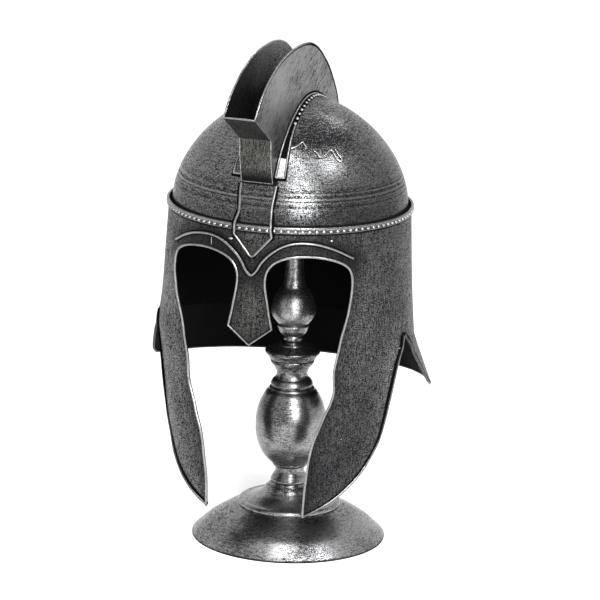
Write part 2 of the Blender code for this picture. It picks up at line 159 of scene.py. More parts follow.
# Solder that ran over the dome: (across, back) in millimetres
SOLDER_RUNS = (
    ((18.6, -64.8), (21.3, -63.2), (23.7, -60.6), (25.5, -57.4), (27.1, -58.6), (30, -60.2),
     (28.8, -61.3)),
    ((35.6, -59), (38.2, -59.2), (40.2, -60.4), (43, -58.8), (44.4, -55.7), (45.9, -51.4),
     (47.7, -50.5), (49.8, -51.8), (52.6, -52.7), (55.7, -51.8)),
    ((49.1, -47.4), (51.3, -48.8), (55.4, -49.7)))
RUN_RISE = 0.42
RUN_RADIUS = 0.5
# A black rod sunk under each run: painted shadow at its edges
RUN_SHADOW_SINK = 0.45
RUN_SHADOW_RADIUS = 1.1

# How far the sheet is bent in from its plain flare: (height, at 30 degrees, at 75 degrees)
CHEEK_BEND = (
    (232, 0, 0), (212, 4.5, 0), (190, 11.7, -0.2), (175, 14.3, -0.7), (163, 16.3, 1.2),
    (143, 20.9, 4.4), (128, 21.9, 6.7), (113, 21.6, 9.1), (98, 22.7, 12), (80, 24.7, 15.6),
    (62, 27.2, 16.3), (38, 28.6, 17))
# (height, inward)
NOSE_BEND = ((250, 0), (232, 0.8), (196, 2.6), (183, 3.4))

# The crest from the side: (millimetres behind the axis, above the floor)
CREST_LIP = (-133, 370.2)
CREST_FOLD = (-93.2, 347.6)
CREST_TOP = (
    (-118, 384.5), (-97, 397), (-72, 405.8), (-44, 410), (-15, 410), (12, 404.3), (38, 389.6),
    (60, 370.6), (77, 347.6), (85.2, 316))
# (distance from the middle, outer edge of the strip along the plate's foot)
FOOT_STRIP = ((0, 17.2), (30, 17.4), (48, 18), (58, 18.9), (71, 20.8), (84, 22.9))
STRIP_BEADS_Y = 45
STRIP_BEADS = 24
STRIP_TAB_Y = 71
SQUARE_FROM_Y = 60

# Turned profiles, top to bottom: (radius, height), and True where the line turns a corner
FOOT = (
    (15.4, 45.2, True), (16.4, 43.6), (18.9, 41.2), (21.4, 38.4, True), (22, 37.9, True),
    (25.5, 35), (31, 32), (36, 30.5), (38.8, 30.3, True), (40.4, 29.9), (41.5, 28.8),
    (41.8, 27.4), (41.2, 26.4, True), (43.8, 25.5), (52, 21.4), (60, 16.6), (66, 12.6),
    (71.2, 8.2), (75.6, 4.2), (77.8, 1.8, True), (78.6, 1.2), (78.6, 0.2, True))
DRUM = (
    (11.6, 58, True), (11.7, 56.4), (12, 54.2), (12.7, 52.4, True), (13.7, 51), (14.9, 48.6),
    (15.5, 46.8), (15.3, 45.8), (14.6, 45.2, True))
BALL = (
    (16, 125.6, True), (17.7, 125.2), (18.4, 124.4, True), (18.7, 123.8, True), (21.2, 121),
    (23.2, 117.4), (25.8, 112.2), (27.6, 106.4), (28.7, 100), (28.9, 92.3), (28.6, 86),
    (27.3, 79.7), (25.7, 75.4), (23.7, 71.2), (20.8, 67), (17.4, 63.4), (15.2, 61.9, True),
    (14.2, 61.6, True), (14.6, 60.8), (14.3, 59.6), (13.2, 58.4), (11.6, 58, True))
CUP = (
    (11.4, 161.2, True), (12.3, 159.8), (15.5, 158.8), (20.4, 157.4), (22, 156.4), (22.4, 155.2),
    (22.2, 153.9), (21.4, 152.8, True), (20.4, 152.3, True), (19.6, 151), (18.6, 149.2),
    (17.6, 148.4, True), (17.9, 147.2), (17.6, 145.8), (16.6, 144.4, True), (15.8, 144, True),
    (14.3, 141.6), (13.1, 139.2), (12.6, 137), (12.8, 135), (13.5, 133.4, True),
    (14, 132.6, True), (15.3, 131.6), (16.5, 129.8), (17.2, 128), (17, 126.8, True),
    (16.2, 126.4, True), (16, 124.8, True))
SPINDLE = (
    (7, 338, True), (7.1, 232), (7.6, 224), (8.2, 215), (9.4, 209.4), (11.3, 206.6), (13.4, 204),
    (15.5, 200.4), (17.1, 196.2), (18, 191.5), (18.2, 188.4), (17.5, 185.6), (16, 182.9),
    (14.2, 180.3), (12.6, 178.6, True), (12, 177.8, True), (12.9, 177), (12.8, 175.6),
    (12.2, 174.4, True), (12, 173.8, True), (11.4, 172.2), (10.2, 170.4), (8.4, 168.9),
    (6.9, 167.8, True), (7.4, 166), (7.1, 164), (6.2, 162.6), (6.2, 161, True))


# Reading the tables --------

def curve_at(before, start, end, after, t):
    """A Catmull-Rom curve between start and end."""
    return 0.5 * (
        2 * start + t * (end - before)
        + t ** 2 * (2 * before - 5 * start + 4 * end - after)
        + t ** 3 * (3 * start - before - 3 * end + after))


def smooth_through(points, steps):
    """A smooth line through 2-D points, with some steps between each two."""
    points = [Vector(point) for point in points]
    ends = [2 * points[0] - points[1], *points, 2 * points[-1] - points[-2]]
    made = []
    for before, start, end, after in zip(ends, ends[1:], ends[2:], ends[3:]):
        made += [curve_at(before, start, end, after, n / steps) for n in range(steps)]
    return [tuple(point) for point in (*made, points[-1])]


def flowing(profile, steps):
    """A profile made smooth between its corners."""
    made, run = [], []
    for radius, height, *corner in profile:
        run.append((radius, height))
        if corner and len(run) > 1:
            made += smooth_through(run, steps)[:-1]
            run = [(radius, height)]
    return made + run[-1:]


def read_table(table, at, column):
    """A smooth reading of a table by its first column."""
    rows = sorted(table)
    at = min(max(at, rows[0][0]), rows[-1][0])
    place = next((n for n in range(1, len(rows)) if at <= rows[n][0]), len(rows) - 1)
    low, high = rows[place - 1], rows[place]
    width = high[0] - low[0]
    t = (at - low[0]) / width

    def slope(n):
        below, above = rows[max(n - 1, 0)], rows[min(n + 1, len(rows) - 1)]
        return (above[column] - below[column]) / (above[0] - below[0]) * width

    start, end = low[column], high[column]
    return (
        start * (1 + 2 * t) * (1 - t) ** 2 + slope(place - 1) * t * (1 - t) ** 2
        + end * t ** 2 * (3 - 2 * t) - slope(place) * t ** 2 * (1 - t))


def mirrored(points):
    """The same line on the other side, the other way along."""
    return [(-across, *rest) for across, *rest in reversed(points)]


# The helmet's shape, in millimetres --------

def plain_flare(height):
    return WALL_TOP_RADIUS + WALL_FLARE * (WALL_TOP - height)


def bent_in(angle, height):
    """How far the sheet is bent in from its plain flare."""
    across = min(angle % 360, -angle % 360)
    if across < NOSE_SPAN:
        return read_table(NOSE_BEND, height, 1)
    front, rear = (read_table(CHEEK_BEND, height, column) for column in (1, 2))
    share = (min(across, BEND_FADES[0]) - CHEEK_SPAN[0]) / (CHEEK_SPAN[1] - CHEEK_SPAN[0])
    fade = min(max((BEND_FADES[1] - across) / (BEND_FADES[1] - BEND_FADES[0]), 0), 1)
    return (front + share * (rear - front)) * fade


def wall_radius(angle, height):
    return plain_flare(height) - bent_in(angle, height)


def guard_radius(angle, height):
    crease = read_table(CREASE, min(angle % 360, -angle % 360), 1)
    bend = bent_in(angle, max(height, CREASE[-1][1]))
    return plain_flare(height) - bend + GUARD_FLARE * max(crease - height, 0)


def dome_height(radius):
    share = min(radius / DOME_RADIUS, 1)
    return DOME_BASE + DOME_RISE * (1 - share ** DOME_POWER) ** (1 / DOME_POWER)


def dome_radius(height):
    share = max(height - DOME_BASE, 0) / DOME_RISE
    return DOME_RADIUS * (1 - share ** DOME_POWER) ** (1 / DOME_POWER)


def on_dome(x, y, lift):
    """A place over the dome, lifted off its face, in metres."""
    radius, step = math.hypot(x, y), 0.1
    slope = (dome_height(radius + step) - dome_height(radius - step)) / (2 * step)
    out = Vector((-slope * x / radius, -slope * y / radius, 1)).normalized()
    return (Vector((x, y, dome_height(radius))) + out * lift) * MM


def over_dome(start, end, steps):
    """Distances from front to back over the dome, evenly spaced along its curve."""
    first, last = (math.asin(y / DOME_RADIUS) for y in (start, end))
    return [DOME_RADIUS * math.sin(first + (last - first) * n / steps) for n in range(steps + 1)]


def around(angle, radius, height):
    """A place by its degrees from the front, in metres."""
    turn = math.radians(angle)
    return Vector((radius * math.sin(turn), -radius * math.cos(turn), height)) * MM


# Making by hand --------

def let_go():
    """Leave nothing selected."""
    bpy.ops.object.select_all(action="DESELECT")


def take_up(piece):
    """Select one piece alone, ready to work on."""
    let_go()
    piece.select_set(True)
    bpy.context.view_layer.objects.active = piece


def in_edit_mode(*steps):
    """Run each step on all of the active mesh."""
    bpy.ops.object.mode_set(mode="EDIT")
    for step in steps:
        bpy.ops.mesh.select_all(action="SELECT")
        step()
    bpy.ops.object.mode_set(mode="OBJECT")


def paint_with(piece, *paints):
    for paint in paints:
        piece.data.materials.append(paint)
    return piece


def apply(piece, kind, **settings):
    """Puts a modifier on and applies it."""
    take_up(piece)
    modifier = piece.modifiers.new(kind.lower(), kind)
    for setting, value in settings.items():
        setattr(modifier, setting, value)
    bpy.ops.object.modifier_apply(modifier=modifier.name)


def join(name, pieces):
    """Makes several pieces one, under a new name."""
    take_up(pieces[0])
    for piece in pieces:
        piece.select_set(True)
    bpy.ops.object.join()
    pieces[0].name = pieces[0].data.name = name
    return pieces[0]


def chain(name, points, closed=False):
    """A line of vertices, from a ring opened where its ends are."""
    let_go()
    bpy.ops.mesh.primitive_circle_add(vertices=len(points), radius=1, fill_type="NOTHING")
    piece = bpy.context.object
    piece.name = piece.data.name = name
    for vert, point in zip(piece.data.vertices, points):
        vert.co = point
    if not closed:
        last = {0, len(points) - 1}
        bpy.ops.object.mode_set(mode="EDIT")
        bpy.ops.mesh.select_all(action="DESELECT")
        bpy.ops.mesh.select_mode(type="EDGE")
        bpy.ops.object.mode_set(mode="OBJECT")
        for edge in piece.data.edges:
            edge.select = set(edge.vertices) == last
        bpy.ops.object.mode_set(mode="EDIT")
        bpy.ops.mesh.delete(type="EDGE")
        bpy.ops.mesh.select_mode(type="VERT")
        bpy.ops.object.mode_set(mode="OBJECT")
    return piece


def rod(name, points, paint, radius=WIRE_RADIUS, wander=WANDER):
    """A wire bent by hand along a line, a little uneven."""
    strayed = []
    for point in points:
        bend = noise.noise_vector(point * LONG_BENDS) + noise.noise_vector(point * SHORT_BENDS) / 3
        strayed.append(point + bend * wander * MM)
    piece = chain(name, strayed)
    bpy.ops.object.convert(target="CURVE")
    piece.data.bevel_depth = radius * MM
    piece.data.bevel_resolution = 3
    piece.data.use_fill_caps = True
    for spline in piece.data.splines:
        for knot in spline.points:
            knot.radius = 1 + SWELL * noise.noise(knot.co.to_3d() * SWELLS)
    bpy.ops.object.convert(target="MESH")
    in_edit_mode(lambda: bpy.ops.mesh.remove_doubles(threshold=MERGE))
    return paint_with(piece, paint)


def spun(name, profile, steps, ring=False):
    """A profile of (radius, height) in millimetres, spun about the axis."""
    piece = chain(name, [Vector((radius, 0, height)) * MM for radius, height in profile], ring)
    in_edit_mode(
        lambda: bpy.ops.mesh.spin(steps=steps, angle=math.tau, center=(0, 0, 0), axis=(0, 0, 1)),
        lambda: bpy.ops.mesh.remove_doubles(threshold=MERGE),
        lambda: bpy.ops.mesh.normals_make_consistent(inside=False))
    return piece


def pull(count, by=(0, 0, 0)):
    """Extrudes the active mesh so many times, each time from where the last one ended."""
    in_edit_mode(lambda: [
        bpy.ops.mesh.extrude_region_move(TRANSFORM_OT_translate={"value": by})
        for _ in range(count)])


def strip_along(name, rings, paint):
    """A closed strip, pulled from each ring of places to the next."""
    piece = chain(name, rings[0], closed=True)
    pull(len(rings) - 1)
    for vert, place in zip(piece.data.vertices, [place for ring in rings for place in ring]):
        vert.co = place
    in_edit_mode(
        lambda: bpy.ops.mesh.fill_holes(sides=0),
        lambda: bpy.ops.mesh.normals_make_consistent(inside=False))
    return paint_with(piece, paint)


def seam(path, raised, before=1.9, after=1.9, share_at=lambda point: 1):
    """Black along a wire, black enamel left in the crevice and painted shadow under the wire: path
    on the sheet, raised 1 mm off it, width to each side.

    It lies thin at its sides, heaps up under the wire and reaches into the sheet.
    """
    thin, heap, sunk = 0.12, 0.5, -0.7
    rings = []
    for n, (point, above) in enumerate(zip(path, raised)):
        left, right = -before * share_at(point), after * share_at(point)
        section = (
            (left, sunk), (left, thin), (-heap, heap), (heap, heap), (right, thin), (right, sunk))
        along = path[min(n + 1, len(path) - 1)] - path[max(n - 1, 0)]
        out = (above - point).normalized()
        side = along.cross(out).normalized()
        rings.append([point + (side * across + out * up) * MM for across, up in section])
    return strip_along("seam", rings, black_enamel_and_shadow)


def score(piece, normal, places):
    """Lines across a flat sheet, where it will bend."""
    normal = Vector(normal)
    in_edit_mode(*[
        lambda place=place: bpy.ops.mesh.bisect(
            plane_co=normal * place, plane_no=normal, threshold=MERGE) for place in places])


def cut_sheet(name, outline, columns, rows):
    """A flat sheet cut to an outline in millimetres, scored both ways."""
    piece = chain(name, [Vector((x, y, 0)) * MM for x, y in outline], closed=True)
    in_edit_mode(bpy.ops.mesh.edge_face_add)
    score(piece, (1, 0, 0), [x * MM for x in columns])
    score(piece, (0, 1, 0), [y * MM for y in rows])
    return piece


def steps_between(low, high, step):
    """Even places between two ends, without the ends."""
    count = round((high - low) / step)
    return [low + (high - low) * n / count for n in range(1, count)]


def to_line(point, line):
    """Distance from a flat point to a line of points."""
    nearest = math.inf
    for start, end in zip(line, line[1:]):
        along = end - start
        share = min(max((point - start).dot(along) / along.length_squared, 0), 1)
        nearest = min(nearest, (start + along * share - point).length)
    return nearest


def measure_from(piece, name, lines, unit=ARC):
    """Keeps each place's distance from the nearest of some lines on the flat sheet, in mm."""
    flat = [[Vector((across * unit, height)) for across, height in line] for line in lines]
    layer = piece.data.attributes.new(name, "FLOAT", "POINT")
    for vert, place in zip(piece.data.vertices, layer.data):
        point = vert.co.xy / MM
        place.value = min(to_line(point, line) for line in flat)


def roll(piece, radius_at):
    """Rolls a flat sheet round the helmet's axis, face outwards."""
    for vert in piece.data.vertices:
        angle, height = vert.co.x / MM / ARC, vert.co.y / MM
        vert.co = around(angle, radius_at(angle, height) - SHEET / 2, height)
    face_out(piece, lambda face: face.center.xy)


def face_out(piece, out_at):
    """Turns the whole piece over if its faces point inwards."""
    piece.data.update()
    if sum(face.normal.xy.dot(out_at(face)) * face.area for face in piece.data.polygons) < 0:
        take_up(piece)
        in_edit_mode(bpy.ops.mesh.flip_normals)


def thicken(piece, thickness):
    """Gives a sheet its thickness in millimetres, its second paint going inside."""
    apply(piece, "SOLIDIFY", thickness=thickness * MM, offset=0, material_offset=1,
          material_offset_rim=0)


def finish(piece, seat, slot, *nodes, sharp=35):
    """Seats a piece, smooths it and ties it to the frame."""
    piece.matrix_world = seat
    take_up(piece)
    bpy.ops.object.transform_apply(location=True, rotation=True, scale=True)
    bpy.ops.object.shade_smooth_by_angle(angle=math.radians(sharp))
    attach(piece, "root")
    if nodes:
        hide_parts(*nodes)


def drop_of_metal(size, subdivisions):
    """A drop with its half sizes in millimetres."""
    let_go()
    bpy.ops.mesh.primitive_ico_sphere_add(subdivisions=subdivisions, radius=MM)
    drop = bpy.context.object
    drop.scale = size
    bpy.ops.object.transform_apply(scale=True)
    return drop


# Finishes --------

def node(paint, kind, sockets, **settings):
    made = paint.node_tree.nodes.new("ShaderNode" + kind)
    for setting, value in settings.items():
        setattr(made, setting, value)
    for socket, value in sockets.items():
        if isinstance(value, bpy.types.NodeSocket):
            paint.node_tree.links.new(value, made.inputs[socket])
        else:
            made.inputs[socket].default_value = value
    return made


def reckon(paint, operation, *values):
    return node(paint, "Math", dict(enumerate(values)), operation=operation).outputs[0]


def plus(paint, total, value, weight):
    """Adds so much of a value."""
    return reckon(paint, "MULTIPLY_ADD", value, weight, total)


def times(paint, total, *shares):
    for share in shares:
        total = reckon(paint, "MULTIPLY", total, share)
    return total


def ramp(paint, value, low, high, start=0.0, end=1.0):
    """Maps low..high onto start..end, held at its ends."""
    return node(paint, "MapRange", {
        "Value": value, "From Min": low, "From Max": high, "To Min": start, "To Max": end,
    }).outputs[0]


def within(paint, value, rise, fall):
    """1 between rise and fall, fading over each of them."""
    return times(paint, ramp(paint, value, *rise), ramp(paint, value, *fall, 1, 0))


def blend(paint, share, first, second):
    return node(
        paint, "Mix", {"Factor": share, 6: first, 7: second}, data_type="RGBA").outputs[2]


def grain(paint, where, per_metre, detail=2.0):
    """Noise with so many grains to the metre each way."""
    spread = node(paint, "Mapping", {"Vector": where, "Scale": per_metre}).outputs[0]
    return node(
        paint, "TexNoise", {"Vector": spread, "Scale": 1.0, "Detail": detail}).outputs[0]


def added(paint, base, terms):
    """base plus each (weight, grain), the grain counted from its middle."""
    total = base
    for weight, value in terms:
        total = plus(paint, total, reckon(paint, "SUBTRACT", value, 0.5), weight)
    return total


def new_paint(name, seat=HELMET, turn=(0, 0, 0)):
    """A finish, its shader and the place on the piece, from the helmet's own axis."""
    paint = bpy.data.materials.new(name)
    paint.use_nodes = True
    shader = paint.node_tree.nodes["Principled BSDF"]
    place = node(paint, "TexCoord", {}).outputs["Object"]
    offset, lean = seat.to_translation(), seat.to_euler()
    where = node(paint, "Mapping", {
        "Vector": place, "Location": offset, "Rotation": lean}, vector_type="TEXTURE").outputs[0]
    if any(turn):
        where = node(paint, "Mapping", {"Vector": where, "Rotation": turn}).outputs[0]
    return paint, shader, where


def grey(level, blue=0):
    return level, level, level + blue


ENAMEL = (0.005, 0.005, 0.0055, 1)
SILVER = (0.23, 0.232, 0.235)
DARK_SILVER = (0.16, 0.161, 0.164)
WARM_WALL = (0.162, 0.16, 0.146, 1)
WARM_FRONT = (0.13, 0.128, 0.115)
WIRE = (0.3, 0.3, 0.297)
WIRE_ROUGH = (0.35, 0.32)
BRIGHT = grey(0.42)
INNER_TOP = (*grey(0.17, 0.008), 1)

# Where cover changes from bare enamel to whole silver
FIRST_SILVER = 0.06
ALL_METAL = 0.3
RELIEF = 0.08 * MM

# Grains to the metre across, along and up a piece
UPRIGHT_STROKES = (1100, 1100, 130)
LEVEL_STROKES = (220, 220, 1300)
SPECKS = (1400, 1400, 1400)
MOTTLING = (26, 26, 26)
SPUN_RINGS = (3, 3, 620)
SMOKE = (60, 60, 60)
ENAMEL_GRAIN = (900, 900, 900)

# Where wear and painted light and shade change, in metres from a piece's own axis and from the
# floor
CHEEK_TIP = 0.04
CHEEK_MIDDLE = 0.13
CHEEK_ROOT = 0.2
UNDER_BAND = (0.2726, 0.274)
FACE_FRONT = (-0.098, -0.07)
DOME_EDGE = (0.2803, 0.2813)
DOME_SHOULDER = (0.285, 0.303)
SPUN_LINES = ((0.290, 0.296), (0.304, 0.312))
DARK_ACROSS = ((0.01, 0.02), (0.046, 0.07))
DARK_HEIGHT = ((0.328, 0.34), (0.342, 0.358))
DARK_DEPTH = (-0.03, -0.02)
UNDER_CREST_ACROSS = ((-0.0145, -0.0135), (0.0140, 0.0150))
UNDER_CREST_HEIGHT = ((0.3090, 0.3100), (0.3140, 0.3150))
UNDER_CREST_DEPTH = (-0.01, 0)
LOW_FRONT = (0.3145, 0.324)
PLATE_TOP = (0.375, 0.409)
BAND_CHANNEL = ((0.2753, 0.2757), (0.2778, 0.2782))
FOOT_STEP_HIGHLIGHT = ((0.028, 0.031), (0.038, 0.042))
FOOT_RIM = (0.0011, 0.0017)


def coat(paint, shader, cover, over, rough):
    """Silver over black enamel by how much of it is left at each place."""
    join_up = paint.node_tree.links.new
    shown = ramp(paint, cover, FIRST_SILVER, 1)
    join_up(blend(paint, shown, ENAMEL, over), shader.inputs["Base Color"])
    join_up(ramp(paint, cover, 0, 1, *rough), shader.inputs["Roughness"])
    join_up(ramp(paint, cover, FIRST_SILVER, ALL_METAL), shader.inputs["Metallic"])
    shader.inputs["Specular IOR Level"].default_value = 0
    lift = node(paint, "Bump", {"Height": cover, "Strength": 0.3, "Distance": RELIEF})
    join_up(lift.outputs[0], shader.inputs["Normal"])


def brushed_silver(name, cover, upright=0.7, level=0.5, speck=3.2, mottle=0.6, rough=(0.32, 0.42),
                   seat=HELMET, turn=(0, 0, 0), over=SILVER, wear_and_shade=None):
    """Silver brushed on dry over black: strokes both ways, specks between them, and wear and
    painted light and shade where given.
    """
    paint, shader, where = new_paint(name, seat, turn)
    total = added(paint, cover, [
        (upright, grain(paint, where, UPRIGHT_STROKES)),
        (level, grain(paint, where, LEVEL_STROKES)),
        (speck, grain(paint, where, SPECKS)),
        (mottle, grain(paint, where, MOTTLING, 3.0))])
    over = (*over, 1)
    if wear_and_shade:
        total, over = wear_and_shade(paint, where, total, over)
    total = reckon(paint, "MAXIMUM", total, 0.0)
    total = reckon(paint, "MINIMUM", total, 1.0)
    coat(paint, shader, total, over, rough)
    return paint


def distance_from(paint, line):
    """Millimetres from a line that the sheet was measured from."""
    return node(paint, "Attribute", {}, attribute_name=line).outputs["Fac"]


def away_from(paint, line, inner, outer, beside=0):
    """beside near a line that the sheet was measured from, 1 away from it."""
    return ramp(paint, distance_from(paint, line), inner, outer, beside)


def parts(paint, where):
    """A place's x, y and z."""
    return node(paint, "SeparateXYZ", {"Vector": where}).outputs


# Each of these takes a finish's cover and colour and gives them back changed: some by wear, most by
# painted light and shade

def wall_wear_and_shade(paint, where, total, over):
    """Black beside the face wire, black enamel and painted shadow, and inside the rear wires;
    painted shadow under the band; darker near the brow and face wires; painted shade at the cheek
    tips; painted reflection, lighter on the left and near the rear edges.
    """
    x, y, z = parts(paint, where)
    from_rear = distance_from(paint, "from_rear")
    grimy = times(
        paint, ramp(paint, z, CHEEK_TIP, CHEEK_MIDDLE, 0.4, 1),
        ramp(paint, x, -0.01, 0.01, *CHEEK_GRIME))
    # Silver gone beside the face wire, black enamel and painted shadow; inside the rear wires; and
    # under the band, painted shadow.
    total = times(
        paint, total, away_from(paint, "from_face", 1.6, 2.4),
        ramp(paint, reckon(paint, "SUBTRACT", from_rear, grimy), 0, 0.6),
        ramp(paint, z, *UNDER_BAND, 1, 0))
    # Painted shade towards the cheek tips, more on the right; painted reflection, lighter on the
    # left and near the rear edges; darker near the brow and face wires.
    tip = ramp(paint, x, -0.03, 0.03, 0.54, 0.18)
    painted_light_and_shade = times(
        paint, ramp(paint, x, -0.09, -0.03, 1.4, 0.66),
        ramp(paint, z, CHEEK_TIP, CHEEK_ROOT, tip, 1), ramp(paint, from_rear, 4, 22, 2.1, 1),
        away_from(paint, "from_brow", 2, 18, 0.22), away_from(paint, "from_face", 2, 16, 0.5))
    over = blend(paint, ramp(paint, y, *FACE_FRONT, 1, 0), over, WARM_WALL)
    return total, blend(paint, painted_light_and_shade, ENAMEL, over)


def guard_wear(paint, where, total, over):
    """Black beside the edge wire."""
    return times(paint, total, away_from(paint, "from_edge", 2.0, 2.8)), over


def dome_rings_and_shade(paint, where, total, over):
    """Lines left by spinning; painted shadow above the band and under the crest's front; painted
    shade in a dark patch right of the crest, low on the dome and on its right, lighter low on the
    left.
    """
    x, y, z = parts(paint, where)
    rings = ramp(paint, grain(paint, where, SPUN_RINGS, 1.0), 0.4, 0.6, -1, 1)
    total = plus(paint, total, times(paint, rings, within(paint, z, *SPUN_LINES)), 0.4)
    # Black at the dome's edge, painted shadow above the band; darker low on the dome, painted
    # shade.
    total = times(
        paint, total, ramp(paint, z, *DOME_EDGE), ramp(paint, z, *DOME_SHOULDER, 0.6, 1))
    # Painted shade: a dark patch on the dome right of the crest.
    dark = times(
        paint, within(paint, x, *DARK_ACROSS), within(paint, z, *DARK_HEIGHT),
        ramp(paint, y, *DARK_DEPTH, 1, 0))
    total = plus(paint, total, dark, -0.6)
    # Painted shadow under the crest's front.
    under_crest = times(
        paint, within(paint, x, *UNDER_CREST_ACROSS), within(paint, z, *UNDER_CREST_HEIGHT),
        ramp(paint, y, *UNDER_CREST_DEPTH, 1, 0))
    total = times(paint, total, ramp(paint, under_crest, 0, 1, 1, 0))
    # Painted shade low on the front and on the right; lighter low on the left.
    low = ramp(paint, x, -0.03, 0.01, 1.12, 0.66)
    painted_light_and_shade = times(
        paint, ramp(paint, x, -0.02, 0.06, 1, 0.75), ramp(paint, z, 0.296, 0.324, low, 1))
    return total, blend(paint, painted_light_and_shade, ENAMEL, over)


def foot_highlight_and_shadow(paint, where, total, over):
    """Painted highlight on the step, painted shadow at the rim."""
    _, _, z = parts(paint, where)
    total = plus(paint, total, within(paint, z, *FOOT_STEP_HIGHLIGHT), 0.35)
    return times(paint, total, ramp(paint, z, *FOOT_RIM, 0.1, 1)), over


def front_darker_low(paint, where, total, over):
    """Dark at the foot of the crest's front."""
    _, _, z = parts(paint, where)
    return times(paint, total, ramp(paint, z, *LOW_FRONT, 0.1, 1)), over


def plate_edge_black_and_shadow(paint, where, total, over):
    """Painted shadow along the foot; black along the top edge, wider towards the rear, black enamel
    and painted shade.
    """
    _, y, _ = parts(paint, where)
    width = ramp(paint, y, -0.04, 0.01, 1.3, 8.5)
    beyond = reckon(paint, "SUBTRACT", distance_from(paint, "from_edge"), width)
    return times(
        paint, total, ramp(paint, beyond, 0, 0.5), away_from(paint, "from_foot", 2.8, 3.6)), over


def inner_plate_wear(paint, where, total, over):
    """A little silver near the top."""
    _, _, z = parts(paint, where)
    high = ramp(paint, z, *PLATE_TOP)
    return plus(paint, total, high, 0.45), blend(paint, high, over, INNER_TOP)


def crest_wire_shade(paint, where, total, over):
    """Painted shade: black on the rear half of the right plate's wire, its unlit side."""
    x, y, _ = parts(paint, where)
    kept = ramp(paint, x, -0.002, 0.002, 1, 0)
    return times(paint, total, ramp(paint, y, -0.03, 0, 1, kept)), over


def band_channel_shade(paint, where, total, over):
    """Painted shade: darker in the channel that the beads sit in."""
    _, _, z = parts(paint, where)
    channel = within(paint, z, *BAND_CHANNEL)
    return times(paint, total, ramp(paint, channel, 0, 1, 1, 0.4)), over


def strip_left_shade(paint, where, total, over):
    """Painted shade: darker on the left strip."""
    x, _, _ = parts(paint, where)
    return times(paint, total, ramp(paint, x, -0.005, 0.005, 0.4, 1)), over


def black_enamel(name):
    """Dull black, a little smoky."""
    paint, shader, where = new_paint(name)
    cloud = grain(paint, where, SMOKE, 4.0)
    join_up = paint.node_tree.links.new
    join_up(blend(paint, cloud, (*grey(0.0006), 1), (*grey(0.0018), 1)),
            shader.inputs["Base Color"])
    join_up(ramp(paint, cloud, 0.3, 0.7, 0.55, 0.7), shader.inputs["Roughness"])
    fine = grain(paint, where, ENAMEL_GRAIN)
    lift = node(paint, "Bump", {"Height": fine, "Strength": 0.2, "Distance": 0.05 * MM})
    join_up(lift.outputs[0], shader.inputs["Normal"])
    shader.inputs["Specular IOR Level"].default_value = 0.02
    return paint


dome_silver = brushed_silver(
    "dome_silver", 0.51, upright=0.9, level=1.7, speck=4.2, wear_and_shade=dome_rings_and_shade, rough=(0.24, 0.3))
wall_silver = brushed_silver(
    "wall_silver", 0.37, upright=2.4, level=1.6, speck=6.6, over=DARK_SILVER, wear_and_shade=wall_wear_and_shade)
guard_silver = brushed_silver(
    "guard_silver", 0.36, upright=1.3, level=1.3, speck=5.2, over=grey(0.12, 0.002),
    wear_and_shade=guard_wear)
crest_silver = brushed_silver(
    "crest_silver", 0.6, upright=2.4, level=0.3, speck=2.4, mottle=1.6,
    turn=(math.radians(60), 0, 0), seat=CREST, wear_and_shade=plate_edge_black_and_shadow)
front_silver = brushed_silver(
    "front_silver", 0.36, upright=1.3, level=0.3, speck=1.8, seat=CREST, over=WARM_FRONT,
    wear_and_shade=front_darker_low)
inner_plate = brushed_silver(
    "inner_plate", 0.02, seat=CREST, over=grey(0.05), wear_and_shade=inner_plate_wear)
wire_silver = brushed_silver(
    "wire_silver", 0.7, upright=0.4, level=0.4, speck=1.6, over=WIRE, rough=WIRE_ROUGH)
cheek_wire_silver = brushed_silver(
    "cheek_wire_silver", 0.6, speck=2.0, over=grey(0.2), rough=WIRE_ROUGH)
guard_wire_silver = brushed_silver(
    "guard_wire_silver", 0.55, speck=2.0, over=grey(0.13), rough=WIRE_ROUGH)
crest_wire_silver = brushed_silver(
    "crest_wire_silver", 0.62, speck=2.8, seat=CREST, over=grey(0.34), rough=WIRE_ROUGH,
    wear_and_shade=crest_wire_shade)
ridge_silver = brushed_silver(
    "ridge_silver", 0.7, upright=0.3, level=0.3, speck=2.6, over=BRIGHT, rough=(0.4, 0.35))
band_silver = brushed_silver(
    "band_silver", 0.55, upright=0.3, level=0.3, speck=2.2, over=WIRE,
    rough=(0.3, 0.26), wear_and_shade=band_channel_shade)
bead_silver = brushed_silver(
    "bead_silver", 0.8, upright=0.3, level=0.3, speck=1.0, over=BRIGHT, rough=(0.3, 0.26))
strip_silver = brushed_silver(
    "strip_silver", 0.75, mottle=1.8, over=grey(0.38, 0.005), wear_and_shade=strip_left_shade)
turned_silver = brushed_silver(
    "turned_silver", 0.64, upright=0.4, level=1.4, speck=2.0, mottle=1.8, seat=STAND,
    over=grey(0.27, 0.005), rough=(0.26, 0.32))
foot_silver = brushed_silver(
    "foot_silver", 0.6, upright=0.4, level=1.6, speck=3.2, mottle=1.2, seat=STAND,
    over=grey(0.3, 0.005), rough=(0.24, 0.3), wear_and_shade=foot_highlight_and_shadow)
drum_silver = brushed_silver(
    "drum_silver", 0.74, upright=0.4, level=1.2, speck=1.6, mottle=1.6, seat=STAND,
    over=grey(0.31, 0.005), rough=(0.27, 0.33))
spindle_silver = brushed_silver(
    "spindle_silver", 0.54, upright=1.6, level=1.2, speck=3.0, mottle=2.2, seat=STAND,
    over=grey(0.29, 0.005), rough=(0.3, 0.38))
cup_silver = brushed_silver(
    "cup_silver", 0.4, upright=0.8, level=1.8, speck=3.0, mottle=2.0, seat=STAND,
    over=grey(0.24, 0.005), rough=(0.28, 0.36))
inner_black = black_enamel("inner_black")
black_enamel_and_shadow = black_enamel("black_enamel_and_shadow")


# Dome and band --------

